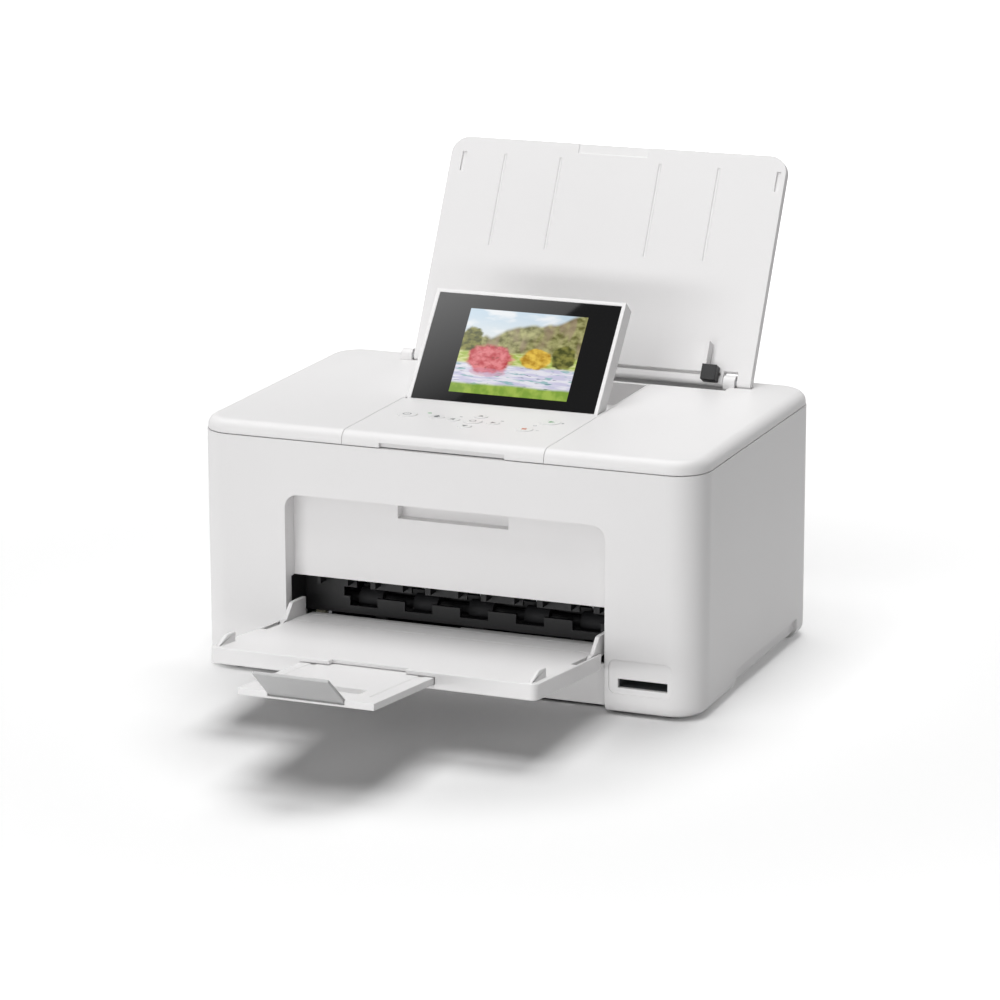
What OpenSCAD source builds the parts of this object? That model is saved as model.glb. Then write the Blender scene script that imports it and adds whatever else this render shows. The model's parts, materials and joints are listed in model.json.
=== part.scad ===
// Compact photo printer: rear sheet feed, tilting display, lift-out front tray.
// Millimetres. Centre of the footprint is the origin, the table is z = 0, the front faces -Y.

/* [Body] */
// Width across the sides
body_w = 249; // [246:1:256]
// Depth, front face to back face
body_d = 167; // [165:1:171]
// Height of the floor's underside above the table
base_z = 5; // [5:0.5:6]
// Height of the skirt's lower edge above the table
skirt_z = 1.2; // [1:0.1:1.6]
// Height of the seam between housing and cover
seam_z = 115; // [114.5:0.5:116]
// Height of the top surface
top_z = 121.7; // [121.5:0.1:122.5]
// Radius of the upright corners
corner_r = 16; // [13:1:18]
// Radius of the soft bottom edge
foot_round = 6; // [5:0.5:7]
// Radius of the soft top edge
top_round = 5; // [4:0.5:5.5]
// Wall thickness of the outer case
wall = 2.6; // [2.2:0.1:2.8]
// Gap drawn at every visible seam
seam = 0.4; // [0.3:0.1:0.5]

/* [Front recess] */
// Half width of the recess that the closed tray fills
recess_half = 79.4; // [78:0.2:79.6]
// Height of the top of the recess
recess_top = 89; // [88.5:0.5:91]
// Radius of the recess top corners
recess_r = 6.5; // [6:0.5:7]
// Height of the bottom edge of the inner panel
panel_z = 48; // [46:0.5:50]
// How far the inner panel stands behind the front face
panel_back = 10; // [9.8:0.1:10.6]
// Plate thickness of the recess frame
frame_t = 2; // [1.8:0.1:2]

/* [Front tray] */
// Length of the tray from hinge end to front edge
tray_len = 80.7; // [78:0.1:80.8]
// Thickness of the tray
tray_t = 7.4; // [7.2:0.1:7.5]
// Upward slope of the open tray in degrees
tray_slope = 6.2; // [5.8:0.1:6.6]
// Height of the open tray surface at its hinge end
tray_z = 29.7; // [29.4:0.1:30]
// Thickness of each lift arm
arm_t = 2; // [1.8:0.1:2]
// Radius of the lift arm pins
arm_pin_r = 1.6; // [1.4:0.1:1.7]
// Width of the sliding extension
ext_w = 64; // [60:1:66]
// Thickness of the sliding extension
ext_t = 3.2; // [3:0.1:3.2]
// Length of the sliding extension
ext_len = 78; // [76:0.5:78.5]
// Length of the extension that shows when pulled out
ext_out = 65; // [60:0.5:65]
// Width of the paper stopper
stop_w = 35.5; // [30:0.5:38]
// Length of the paper stopper
stop_len = 22; // [18:0.5:23]
// Lean of the raised stopper from the extension surface in degrees
stop_lean = 34; // [30:1:40]

/* [Display] */
// Width of the display unit
disp_w = 97; // [94:0.5:97]
// Length of the display unit from hinge to top
disp_len = 60.5; // [58:0.5:61]
// Thickness of the display unit
disp_t = 9; // [8.5:0.1:9]
// Lean of the raised display from upright in degrees
disp_lean = 40; // [36:1:44]
// Width of the centre control panel
deck_w = 100; // [100:0.1:101]

/* [Paper support] */
// Width of the paper support
sup_w = 175.5; // [172:0.5:176]
// Length of the paper support
sup_len = 117.5; // [112:0.5:120]
// Thickness of the paper support
sup_t = 4.5; // [4:0.1:4.6]
// Lean of the open support behind upright in degrees
sup_lean = 28; // [26:0.5:30]
// Sideways position of the middle of the support
sup_x = 10; // [9.5:0.1:10.5]
// Distance between the edge guides, the widest paper plus play
paper_w = 128; // [127.5:0.5:128]

/* [Mechanism] */
// Gear module of the paper drive
gear_m = 0.8; // [0.8:0.01:0.8]
// Radius of the line feed roller
line_r = 6; // [6:0.1:6]
// Radius of the exit roller tyres
exit_r = 5; // [5:0.1:5]
// Radius of the pick roller tyre
pick_r = 11; // [10.6:0.1:11]
// Radius of the carriage guide rod
rod_r = 3.5; // [3:0.1:4]
// Running gap between a shaft and its bore
run_gap = 0.06; // [0.04:0.01:0.08]
// Travel of a key
key_travel = 0.6; // [0.5:0.1:0.7]

/* [Hidden] */
$fn = 64;
eps = 0.01;
front_y = -body_d / 2;
back_y = body_d / 2;
deck_x0 = -50.3;
deck_x1 = deck_x0 + deck_w;
deck_mid = (deck_x0 + deck_x1) / 2;
well_y0 = -12;
well_y1 = 56.6;
well_floor = 110.6;
floor_z = base_z + wall;
pan_t = 2.5;
pan_z = floor_z + pan_t;
inner_x = body_w / 2 - wall;
inner_y = body_d / 2 - wall;

// Tray and lift arm geometry, in the Y Z plane
tray_back_y = front_y - 2.5;
u_y = -cos(tray_slope);
u_z = sin(tray_slope);
m_y = sin(tray_slope);
m_z = cos(tray_slope);
tray_o_y = tray_back_y - tray_t * m_y;
tray_o_z = tray_z - tray_t * m_z;
pin_m = 5.2;
pin_t = 7.6;
tail_r = 8;
fin_h = 4.4;
proud = tray_t + fin_h + 0.4 - panel_back;
tray_r = 3.5;
pin_y = tray_o_y + pin_m * m_y + pin_t * u_y;
pin_z = tray_o_z + pin_m * m_z + pin_t * u_z;
shut_y = front_y - proud + pin_m;
shut_z = base_z + 0.3 + pin_t;
mid_y = (pin_y + shut_y) / 2;
mid_z = (pin_z + shut_z) / 2;
gap_yz = norm([shut_y - pin_y, shut_z - pin_z]);
arm_off = 18;
arm_y = mid_y - (shut_z - pin_z) / gap_yz * arm_off;
arm_z = mid_z + (shut_y - pin_y) / gap_yz * arm_off;
tray_half = recess_half - 0.3;
arm_in = tray_half - 1.7 - arm_t;
face_y = front_y + 11.3;
ext_m = 2;
ext_x = -1.5;
ext_t0 = tray_len + ext_out - ext_len;
stop_hinge_t = tray_len + ext_out - 1.8;
stop_hinge_m = ext_m + ext_t - 1.3;

// Display hinge
disp_x = deck_mid;
disp_flat_y = -8.4;
disp_ax_y = disp_flat_y - 1;
disp_ax_z = top_z - 3.3;
disp_turn = 90 - disp_lean;

// Paper support: s runs up the plate, n towards the back
sup_foot_y = 64;
sup_ax_s = 3;
sup_ax_y = sup_foot_y + sup_ax_s * sin(sup_lean) + sup_t / 2 * cos(sup_lean);
sup_ax_z = top_z + sup_ax_s * cos(sup_lean) - sup_t / 2 * sin(sup_lean);
guide_x = sup_x + paper_w / 2;

// Paper drive
line_y = 2;
line_z = 31.6;
exit_y = -47.8;
exit_z = 32.2;
pick_y = 40.3;
pick_z = 83.5;
gear_x = -77;
gear_w = 5;
line_n = 30;
exit_idler_n = 40;
exit_n = 25;
motor_n = 18;
feed_idler_n = 25;
pick_n = 32;
frame_x0 = -70;
frame_x1 = 112;
rod_y = 8;
rod_z = 64;
belt_z = 86;
belt_y = 10;
pulley_r = 6;
pulley_x0 = -58;
pulley_x1 = 98;
car_x = 20;
car_w = 46;
led_x = 1;
stub_r = 2;
lug_x = 84.1;
screw_x = 105;
screw_y = 45;
skirt_in = 9.5;
foot_x = 108;
foot_y = 71.5;
foot_r = 6;
card_x = body_w / 2 - 28;
inlet_x = -body_w / 2 + 24.5;
board_x = -body_w / 2 + 5.5;
gap_y = front_y + 22.9;
pinch_x = [-42, -14, 14, 42, 64];
star_x = [-50, -22, 6, 34, 62];
door_x0 = 22;
door_x1 = 90;
guide_lean = 18;
arc_r = 40;
arc_y = 8.4;
arc_z = 78;

function rad(a) = a * PI / 180;
function inv(a) = tan(a) * 180 / PI - a;
function tooth_half(r, rp, n, back) =
  90 / n - back / rp * 180 / PI / 2 + inv(20) - inv(acos(min(1, rp * cos(20) / r)));
function mesh_phase(beta, phi, n1, n2) =
  beta + 180 + 360 / n2 * ((beta - phi) * n1 / 360 - 0.5);
function angle_yz(y0, z0, y1, z1) = atan2(z1 - z0, y1 - y0);

// ---- shared shapes ----

module rounded_rect(w, d, r) {
  square([w - 2 * r, d], center = true);
  square([w, d - 2 * r], center = true);
  for (sx = [-1, 1], sy = [-1, 1]) translate([sx * (w / 2 - r), sy * (d / 2 - r)]) circle(r);
}

module edge_section(w, h, f) {
  translate([-w / 2 + f, 0]) square([w - 2 * f, h]);
  translate([-w / 2, f]) square([w, h - f]);
  for (s = [-1, 1]) translate([s * (w / 2 - f), f]) intersection() {
    circle(f);
    translate([-f, -f]) square([2 * f, f]);
  }
}

module corner_section(r, h, f) {
  square([r - f, h]);
  translate([0, f]) square([r, h - f]);
  translate([r - f, f]) intersection() {
    circle(f);
    translate([-f, -f]) square([2 * f, f]);
  }
}

// Block with upright corners of radius r and a soft bottom edge of radius f
module soft_block(w, d, h, r, f) {
  for (sx = [-1, 1], sy = [-1, 1]) translate([sx * (w / 2 - r), sy * (d / 2 - r), 0])
    rotate_extrude() corner_section(r, h, f);
  rotate([90, 0, 0]) linear_extrude(d - 2 * r, center = true) edge_section(w, h, f);
  rotate([90, 0, 90]) linear_extrude(w - 2 * r, center = true) edge_section(d, h, f);
}

// Cylinder along X from x0 to x1
module bar(x0, x1, r) {
  translate([x0, 0, 0]) rotate([0, 90, 0]) cylinder(x1 - x0, r, r);
}

module box(x0, x1, y0, y1, z0, z1) {
  translate([x0, y0, z0]) cube([x1 - x0, y1 - y0, z1 - z0]);
}

// Frame of the open tray: x across, -y towards its front edge, z up from its outer face
module tray_frame() {
  translate([0, tray_o_y, tray_o_z]) rotate([-tray_slope, 0, 0]) children();
}

// Frame of the open support: x across, z up the plate, y towards the back
module support_frame() {
  translate([0, sup_foot_y, top_z]) rotate([-sup_lean, 0, 0]) children();
}

// Frame of the raised display: x across, y up the screen, z out of the screen, origin on the hinge
module display_frame() {
  translate([0, disp_ax_y, disp_ax_z]) rotate([disp_turn, 0, 0]) children();
}

module gear_2d(n, phase, bore) {
  rp = gear_m * n / 2;
  rb = rp * cos(20);
  ra = rp + 0.88 * gear_m;
  rf = rp - 1.2 * gear_m;
  back = 0.12;
  steps = 4;
  r0 = max(rb, rf) + 0.001;
  difference() {
    union() {
      circle(rf + 0.02);
      for (i = [0 : n - 1]) rotate(phase + i * 360 / n) polygon(concat(
        [[rf * cos(tooth_half(r0, rp, n, back)), -rf * sin(tooth_half(r0, rp, n, back))]],
        [for (k = [0 : steps]) let (r = r0 + (ra - r0) * k / steps, a = tooth_half(r, rp, n, back))
          [r * cos(a), -r * sin(a)]],
        [for (k = [steps : -1 : 0]) let (r = r0 + (ra - r0) * k / steps, a = tooth_half(r, rp, n, back))
          [r * cos(a), r * sin(a)]],
        [[rf * cos(tooth_half(r0, rp, n, back)), rf * sin(tooth_half(r0, rp, n, back))]]));
    }
    if (bore > 0) circle(bore);
  }
}

// Gear about the X axis, angles measured from +Y towards +Z
module gear_x_axis(n, phase, bore, x0, w) {
  translate([x0, 0, 0]) rotate([90, 0, 90]) linear_extrude(w) gear_2d(n, phase, bore);
}

// ---- case ----

module housing() {
  color("white") difference() {
    translate([0, 0, skirt_z]) soft_block(body_w, body_d, seam_z - skirt_z, corner_r, foot_round);
    // hollow inside the skirt, with room for the feet
    translate([0, 0, skirt_z - 1]) linear_extrude(base_z - skirt_z + 1)
      rounded_rect(body_w - 2 * skirt_in, body_d - 2 * skirt_in, corner_r - skirt_in);
    for (sx = [-1, 1], sy = [-1, 1]) translate([sx * foot_x, sy * foot_y, skirt_z - 1])
      cylinder(base_z - skirt_z + 1, foot_r + 0.4, foot_r + 0.4);
    // raised edge below the hand holds
    for (s = [-1, 1]) translate([s * body_w / 2, 15, skirt_z - 1 + (base_z - skirt_z + 1) / 2])
      cube([40, 90, base_z - skirt_z + 1], center = true);
    translate([0, 0, floor_z]) soft_block(body_w - 2 * wall, body_d - 2 * wall, seam_z, corner_r - wall,
      foot_round - wall);
    translate([0, 0, base_z - 1]) linear_extrude(wall + 2) rounded_rect(body_w - 52, body_d - 44, 8);
    // tray recess
    translate([0, face_y + 2.3, 0]) rotate([90, 0, 0]) linear_extrude(20) {
      translate([-recess_half, 0]) square([2 * recess_half, recess_top - recess_r]);
      translate([-recess_half + recess_r, 0]) square([2 * (recess_half - recess_r), recess_top]);
      for (s = [-1, 1]) translate([s * (recess_half - recess_r), recess_top - recess_r]) circle(recess_r);
    }
    // card slot in its shallow field
    translate([card_x, front_y + 0.5, 19]) rotate([90, 0, 0]) linear_extrude(5) rounded_rect(30, 16, 3);
    box(card_x - 10.7, card_x + 13.2, front_y - 1, front_y + wall + 1, 13.8, 18.1);
    // shallow hand holds low on both sides
    for (s = [-1, 1]) translate([s * (body_w / 2 + 3.2), 15, 0]) cube([10, 90, 2 * 11.5], center = true);
    // rear openings
    box(door_x0, door_x1, inner_y - 1, back_y + 1, 14, 62);
    translate([0, back_y - 1.3, 15.7]) bar(door_x0 - 3.5, door_x1 + 3.5, 0.95);
    box(inlet_x - 12, inlet_x + 12, inner_y - 1, back_y + 1, 22, 38);
    box(-74, -61, inner_y - 1, back_y + 1, 24, 36);
    // screw holes in the floor rim
    for (sx = [-1, 1], sy = [-1, 1]) translate([sx * screw_x, sy * screw_y, base_z - 1]) {
      cylinder(20, 1.6, 1.6);
      cylinder(1 + 1.6, 3.3, 3.3);
    }
  }
}

module base_pan() {
  color("dimgray") {
    difference() {
      union() {
        translate([0, 0, floor_z]) linear_extrude(pan_t)
          rounded_rect(body_w - 2 * wall - 8, body_d - 2 * wall - 8, corner_r - wall - 4);
        for (sx = [-1, 1], sy = [-1, 1]) translate([sx * screw_x, sy * screw_y, floor_z]) cylinder(14, 4, 4);
        for (x = [board_x + 3, board_x + 35], y = [-32, 20]) translate([x, y, floor_z]) cylinder(6, 3, 3);
      }
      box(-recess_half - 3, recess_half + 3, front_y - 1, face_y + 2.3, 0, 40);
      for (sx = [-1, 1], sy = [-1, 1]) translate([sx * screw_x, sy * screw_y, base_z]) cylinder(14, 1.45, 1.45);
    }
  }
}

module rubber_feet() {
  color("gray") for (sx = [-1, 1], sy = [-1, 1]) translate([sx * foot_x, sy * foot_y, 0]) {
    translate([0, 0, 1]) cylinder(base_z - 1, foot_r, foot_r);
    cylinder(1, foot_r - 1, foot_r);
  }
}

module case_screws() {
  color("silver") for (sx = [-1, 1], sy = [-1, 1]) translate([sx * screw_x, sy * screw_y, base_z + 0.1])
    difference() {
      union() {
        cylinder(1.5, 2.8, 2.8);
        cylinder(12, 1.4, 1.4);
      }
      for (a = [0, 90]) rotate(a) cube([3.2, 0.7, 1.4], center = true);
    }
}

module top_cover() {
  color("white") difference() {
    translate([0, 0, top_z]) mirror([0, 0, 1])
      soft_block(body_w - 0.6, body_d - 0.6, top_z - seam_z - seam, corner_r, top_round);
    translate([0, 0, 100]) linear_extrude(top_z - 2.4 - 100)
      rounded_rect(body_w - 0.6 - 2 * wall, body_d - 0.6 - 2 * wall, corner_r - wall);
    box(deck_x0, deck_x1, front_y - 5, well_y1 + 0.3, 100, 130);
    // sheet feed opening
    box(guide_x - paper_w - 7.6, guide_x + 13.4, well_y1 + 1.2, 73.2, 100, 130);
    // resting trough of the support foot
    translate([0, sup_ax_y, sup_ax_z]) bar(sup_x - sup_w / 2 - 0.6, sup_x + sup_w / 2 + 0.6, 3);
  }
  // skirt that locates the cover in the housing
  color("white") difference() {
    translate([0, 0, seam_z - 2.5]) linear_extrude(top_z - 2.3 - seam_z + 2.5)
      rounded_rect(body_w - 2 * wall - 0.3, body_d - 2 * wall - 0.3, corner_r - wall - 0.15);
    translate([0, 0, 100]) linear_extrude(30)
      rounded_rect(body_w - 2 * wall - 3.5, body_d - 2 * wall - 3.5, corner_r - wall - 1.75);
    box(deck_x0, deck_x1, front_y - 5, well_y1 + 0.3, 100, 130);
  }
  // hinge lugs
  color("white") for (s = [-1, 1]) {
    x0 = s < 0 ? sup_x - sup_w / 2 - 6.5 : lug_x;
    difference() {
      union() {
        translate([0, sup_ax_y, sup_ax_z]) bar(x0, x0 + 5.9, 3.6);
        box(x0, x0 + 5.9, sup_ax_y - 3.6, sup_ax_y + 3.6, top_z - 1, sup_ax_z);
      }
      translate([0, sup_ax_y, sup_ax_z]) bar(x0 - 1, x0 + 7, 1.6 + run_gap);
    }
  }
}

module control_panel() {
  x0 = deck_x0 + 0.2;
  x1 = deck_x1 - 0.2;
  color("white") difference() {
    intersection() {
      translate([0, 0, top_z]) mirror([0, 0, 1])
        soft_block(body_w - 0.6, body_d - 0.6, top_z - well_floor + 1.6, corner_r, top_round);
      box(x0, x1, front_y - 1, well_y1, 100, 130);
    }
    // hollow under the key deck, behind the front lip
    box(x0 + 1.6, x1 - 1.6, front_y + 0.3 + wall, well_y0 - 1.6, 100, top_z - 2.2);
    box(x0 - 1, x1 + 1, front_y - 2, front_y + 6, 100, seam_z + seam);
    box(x0 - 1, x0 + 0.2, front_y - 2, well_y1 + 1, 100, seam_z + seam);
    // display well, open through the hinge notch at its front
    box(x0 + 0.8, x1 - 0.8, well_y0, well_y1 - 1.6, well_floor, 130);
    // finger notch under the front lip
    box(-31.5, 30.5, front_y - 1, front_y + 2.2, 100, seam_z + 2.6);
    // hinge pin sockets
    translate([0, disp_ax_y, disp_ax_z]) bar(x0 - 1, x1 + 1, 1.2 + run_gap);
    // key holes
    for (k = keys) translate([k[0], k[1], 110]) cylinder(20, k[2] + 0.25, k[2] + 0.25);
    translate([led_x - 27, -36, 110]) cylinder(20, 1.05, 1.05);
  }
  // board that the keys press on
  color("darkgreen") box(x0 + 4, x1 - 4, front_y + 20, well_y0 - 3, top_z - 8, top_z - 6.6);
  color("white") for (x = [x0 + 6, x1 - 6], y = [front_y + 24, well_y0 - 6])
    translate([x, y, top_z - 6.6 - eps]) cylinder(4.4 + 2 * eps, 2, 2);
}

// x, y, radius of each key
keys = [[-35, -42, 4.6], [-20, -42, 3.6], [-1, -34, 3.2], [-1, -54, 3.2], [-11, -44, 3.2],
  [9, -44, 3.2], [-1, -44, 4.4], [33, -33, 5], [27, -50, 4]];

module key(i) {
  translate([keys[i][0], keys[i][1], 0]) {
    translate([0, 0, top_z - 2.6]) cylinder(2.9, keys[i][2], keys[i][2]);
    translate([0, 0, top_z - 3.4]) cylinder(0.9, keys[i][2] + 0.7, keys[i][2] + 0.7);
    translate([0, 0, top_z - 6.6 + key_travel + 0.2]) cylinder(3, 1, 1);
  }
}

module key_power() { color("white") key(0); }
module key_home() { color("white") key(1); }
module key_up() { color("white") key(2); }
module key_down() { color("white") key(3); }
module key_left() { color("white") key(4); }
module key_right() { color("white") key(5); }
module key_ok() { color("white") key(6); }
module key_start() { color("white") key(7); }
module key_stop() { color("white") key(8); }

module status_lamp() {
  color("green") translate([led_x - 27, -36, top_z - 6.6]) cylinder(6.7, 1, 1);
}

// ---- front opening ----

// White frame lining the recess, with the panel above the paper exit
module recess_frame() {
  yb = gap_y + 0.6;
  ym = front_y + 6.2;
  yf = front_y + wall + 0.1;
  py = front_y + panel_back;
  w0 = recess_half + 0.1;
  color("white") difference() {
    union() {
      for (s = [-1, 1]) {
        x0 = s < 0 ? -w0 - frame_t : w0;
        box(x0, x0 + frame_t, yf, ym, 8.5, recess_top + 2);
        box(x0, x0 + frame_t, ym - eps, yb, 8.5, 27.3);
        box(x0, x0 + frame_t, ym - eps, py + frame_t, panel_z, recess_top + 2);
      }
      box(-w0 - frame_t, w0 + frame_t, yf, py + frame_t, recess_top + 0.1, recess_top + 2);
      box(-recess_half - 1, recess_half + 1, py, py + frame_t, panel_z, recess_top + 2);
      // pocket behind the finger scoop
      box(-28.5, 30.5, py + 1, py + 7, recess_top - 11, recess_top + 2);
    }
    box(-26.5, 28.5, py - 1, py + 5.4, recess_top - 9, recess_top - eps);
    box(-recess_half - 5, recess_half + 5, front_y, front_y + 30, 0, pan_z + 0.1);
  }
}

// Sloped lip under the paper exit and the face below it
module exit_ledge() {
  half = arm_in - 0.3;
  color("white") {
    tray_frame() difference() {
      translate([-half, 17.5, tray_t - 1.8]) cube([2 * half, 7.6, 1.8]);
      translate([-half - 1, 22.6, tray_t - 3]) cube([half + 1, 5, 5]);
    }
    box(-half, half, face_y, face_y + 2, skirt_z, 21);
    for (x = [-60, -20, 20, 60]) {
      box(x - 1, x + 1, face_y + 1, gap_y - 1.4, pan_z, 21);
      box(x - 1, x + 1, gap_y - 7.6, gap_y - 1.4, 20.9, 25.9);
    }
    box(-half, half, face_y + 1, gap_y - 1.4, pan_z, pan_z + 1.5);
  }
}

// Dark back wall of the paper exit, with the gap that the print leaves through
module exit_guide() {
  c0 = recess_half + 0.1;
  color("black") difference() {
    union() {
      box(-c0 - frame_t, c0 + frame_t, gap_y, gap_y + 1.7, 27.7, 56);
      box(-recess_half, recess_half, front_y + panel_back + frame_t + 0.1, gap_y + 1.7, 54, 56);
      for (x = [-70 : 14 : 70]) box(x - 0.8, x + 0.8, gap_y - 6.4, gap_y + 0.6, 42.5, 54.5);
      // cheeks at both ends of the opening, with the bearings of the lift arms
      for (s = [-1, 1]) {
        x0 = s < 0 ? -c0 - frame_t : c0;
        box(x0, x0 + frame_t, front_y + 6.3, gap_y + 0.6, 27.7, panel_z - 0.1);
        box(x0, x0 + frame_t, front_y + panel_back + frame_t + 0.1, gap_y + 0.6, panel_z - 0.2, 56);
      }
    }
    box(-60, 77, gap_y - 1.4, gap_y + 3.6, 36, 40.5);
    for (x = star_x) box(x - 7, x + 7, gap_y - 1.4, gap_y + 3.6, 31.5, 40);
    for (x = star_x) box(x - 3.5, x + 3.5, gap_y - 1.4, gap_y + 3.6, 40, 46);
    translate([0, arm_y, arm_z]) {
      bar(c0 - 1, c0 + frame_t + 1, arm_pin_r + run_gap);
      bar(-c0 - frame_t - 1, -c0 + 1, arm_pin_r + run_gap);
    }
  }
}

module card_reader() {
  color("dimgray") difference() {
    box(card_x - 12.5, card_x + 15.5, front_y + wall + 0.1, front_y + 33.5, 10.2, 22);
    box(card_x - 10.7, card_x + 13.2, front_y, front_y + 29.5, 13.8, 18.1);
  }
}

module rear_door() {
  color("white") {
    difference() {
      box(door_x0 + 0.4, door_x1 - 0.4, back_y - wall, back_y - 0.1, 15.7, 61.6);
      translate([(door_x0 + door_x1) / 2, back_y + 0.4, 57]) rotate([90, 0, 0]) cylinder(1.6, 7, 7);
    }
    translate([0, back_y - 1.3, 15.7]) {
      bar(door_x0 + 0.4, door_x1 - 0.4, 1.2);
      bar(door_x0 - 3, door_x1 + 3, 0.9);
    }
  }
}

module cartridge_bay() {
  color("dimgray") {
    box(26, 84.8, 48, 78.4, pan_z, pan_z + 1.8);
    for (x = [26, 83.2]) box(x, x + 1.6, 48, 78.4, pan_z, 50);
    box(26, 84.8, 48, 49.6, pan_z, 50);
  }
}

module ink_cartridge() {
  color("black") difference() {
    box(27.8, 83, 49.8, 78.6, pan_z + 1.8, 54);
    for (x = [36 : 12 : 72]) box(x, x + 6, 77.6, 80, 20, 44);
  }
}

module power_inlet() {
  color("black") difference() {
    box(inlet_x - 11.7, inlet_x + 11.7, back_y - 17.5, back_y - 0.4, 22.3, 37.7);
    translate([inlet_x, back_y - 9.5, 30]) rotate([-90, 0, 0]) linear_extrude(20) union() {
      for (s = [-1, 1]) translate([s * 3.4, 0]) circle(3.6);
      square([6.8, 7.2], center = true);
    }
  }
  color("silver") for (s = [-1, 1]) translate([inlet_x + s * 3.4, back_y - 9.6, 30]) rotate([-90, 0, 0])
    cylinder(7, 1.1, 1.1);
}

module usb_port() {
  color("silver") difference() {
    box(-73.7, -61.3, back_y - 15.5, back_y - 0.4, 24.3, 35.7);
    box(-72.5, -62.5, back_y - 13.5, back_y + 1, 25.5, 34.5);
  }
  color("black") box(-70, -65, back_y - 13.6, back_y - 3, 28.5, 31.5);
}

// ---- tray ----

module arm(s) {
  x0 = s < 0 ? -arm_in - arm_t : arm_in;
  translate([x0, 0, 0]) rotate([90, 0, 90]) linear_extrude(arm_t) difference() {
    union() {
      translate([arm_y, arm_z]) circle(3.4);
      translate([pin_y, pin_z]) circle(2.6);
      polygon([[pin_y, pin_z + 2.5], [pin_y + 2.2, pin_z + 2.7], [arm_y - 11.3, arm_z + 4.8],
        [arm_y - 9, arm_z + 5], [arm_y + 3.2, arm_z + 4.2], [arm_y + 3.2, arm_z - 4.4],
        [arm_y - 10.5, arm_z - 5.4], [pin_y, pin_z - 2.6]]);
    }
    translate([pin_y, pin_z]) circle(arm_pin_r + run_gap);
  }
}

// Section of the bridge between the arms: it carries on the top of the tray up to the exit
module bridge_2d() {
  t = 1.8;
  b = -22;
  intersection() {
    difference() {
      polygon([for (q = [[pin_t, -t], [pin_t, 0], [b, 0], [b, -t]])
        [tray_o_y + (tray_t + q[1]) * m_y + q[0] * u_y, tray_o_z + (tray_t + q[1]) * m_z + q[0] * u_z]]);
      translate([pin_y, pin_z]) circle(tail_r + 0.3);
    }
    union() {
      translate([arm_y - 30, 0]) square([26.5, 60]);
      translate([arm_y, arm_z]) circle(6.2);
    }
  }
}

// The two arms and the bridge between them swing together on pivots moulded at their ends
module lift_arms() {
  color("white") {
    rotate([90, 0, 90]) linear_extrude(2 * arm_in + 1, center = true) bridge_2d();
    for (s = [-1, 1]) {
      arm(s);
      translate([0, arm_y, arm_z]) bar(s < 0 ? -recess_half - 1.9 : arm_in + arm_t - eps,
        s < 0 ? -arm_in - arm_t + eps : recess_half + 1.9, arm_pin_r);
    }
  }
}

module front_tray() {
  slot = ext_w / 2 + 0.4;
  color("white") tray_frame() difference() {
    union() {
      linear_extrude(tray_t) {
        translate([-tray_half, -tray_len + tray_r]) square([2 * tray_half, tray_len - tray_r]);
        translate([-tray_half + tray_r, -tray_len]) square([2 * (tray_half - tray_r), tray_r + 1]);
        for (s = [-1, 1]) translate([s * (tray_half - tray_r), -tray_len + tray_r]) circle(tray_r);
      }
      // side fins near the front corners
      for (s = [-1, 1]) translate([s * 75.5 - 0.9, 0, 0]) rotate([90, 0, 90]) linear_extrude(1.8)
        polygon([[-79.4, tray_t - 0.5], [-79.4, tray_t + 0.4], [-71, tray_t + fin_h - 0.2],
          [-69.5, tray_t + fin_h], [-62.4, tray_t + fin_h], [-62.4, tray_t - 0.5]]);
    }
    // channel of the extension
    translate([ext_x - slot, -tray_len - 1, ext_m - 0.15]) cube([2 * slot, tray_len - 0.6, ext_t + 0.3]);
    // notch that the stopper folds up through
    translate([ext_x - stop_w / 2 - 0.6, -tray_len - 1, ext_m]) cube([stop_w + 1.2, 5.4, tray_t]);
    // slots of the lift arms, closed on the outer face
    for (s = [-1, 1]) translate([s * (arm_in + arm_t / 2) - arm_t / 2 - 0.3, -29, 1.4])
      cube([arm_t + 0.6, 30, tray_t]);
    // hinge end rounded about the pins
    difference() {
      translate([-tray_half - 1, -3, -1]) cube([2 * tray_half + 2, 4, 3.9]);
      translate([0, -pin_t, pin_m]) bar(-tray_half - 2, tray_half + 2, tail_r);
    }
    // pin bores
    for (s = [-1, 1]) translate([0, -pin_t, pin_m])
      bar(s > 0 ? arm_in - 8 : -tray_half + 0.5, s > 0 ? tray_half - 0.5 : -arm_in + 8, arm_pin_r);
    // finger cut in the underside of the front edge
    translate([ext_x, -tray_len, -1]) cylinder(2, 11, 11);
  }
}

module tray_pins() {
  color("silver") tray_frame() for (s = [-1, 1]) translate([0, -pin_t, pin_m])
    bar(s > 0 ? arm_in - 8 : -tray_half + 0.5, s > 0 ? tray_half - 0.5 : -arm_in + 8, arm_pin_r);
}

module tray_extension() {
  color("white") tray_frame() difference() {
    translate([ext_x - ext_w / 2, -ext_t0 - ext_len, ext_m]) cube([ext_w, ext_len, ext_t]);
    // pocket that takes the folded stopper
    translate([ext_x - stop_w / 2 - 0.4, -stop_hinge_t - 3, ext_m + ext_t - 2.2])
      cube([stop_w + 0.8, stop_len + 4, 3]);
    for (x = [-26, 26]) translate([ext_x + x - 1.5, -ext_t0 - ext_len + 12, ext_m + ext_t - 0.4])
      cube([3, ext_len - 24, 1]);
    translate([0, -stop_hinge_t, stop_hinge_m]) bar(ext_x - ext_w / 2 + 8, ext_x + ext_w / 2 - 8, 0.8 + run_gap);
  }
}

module stopper() {
  color("white") tray_frame() translate([ext_x, -stop_hinge_t, stop_hinge_m]) rotate([-stop_lean, 0, 0]) {
    translate([-stop_w / 2, -stop_len, -0.75]) cube([stop_w, stop_len, 1.5]);
    bar(-stop_w / 2 - 6, stop_w / 2 + 6, 0.8);
  }
}

// ---- display ----

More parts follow.
